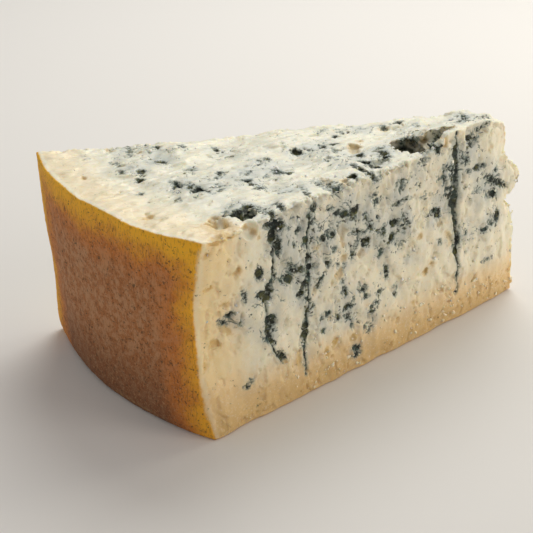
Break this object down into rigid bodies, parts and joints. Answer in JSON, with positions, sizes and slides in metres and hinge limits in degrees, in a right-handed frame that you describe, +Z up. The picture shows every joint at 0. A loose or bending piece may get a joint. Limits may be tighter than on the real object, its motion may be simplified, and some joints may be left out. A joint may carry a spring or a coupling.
{
  "type": "blue cheese wedge",
  "caption": "Wedge of natural-rinded blue cheese with pierced veins, cut from the lower half of a wheel: curved rind end, blunt broken tip, level cut top, flat base.",
  "frame": {"origin": "centre of the wedge's box at the height of its flat base", "axes": "+X runs along the wedge from the rind to the tip, +Y across it towards the far cut face, +Z up from the base"},
  "size_m": [0.1778, 0.1014, 0.0804],
  "materials": {
    "cheese": "moist cream paste with blue-green mould veins and a dry tan-brown natural rind"
  },
  "bodies": {
    "root": {"cheese_wedge": "cheese"}
  },
  "joints": []
}
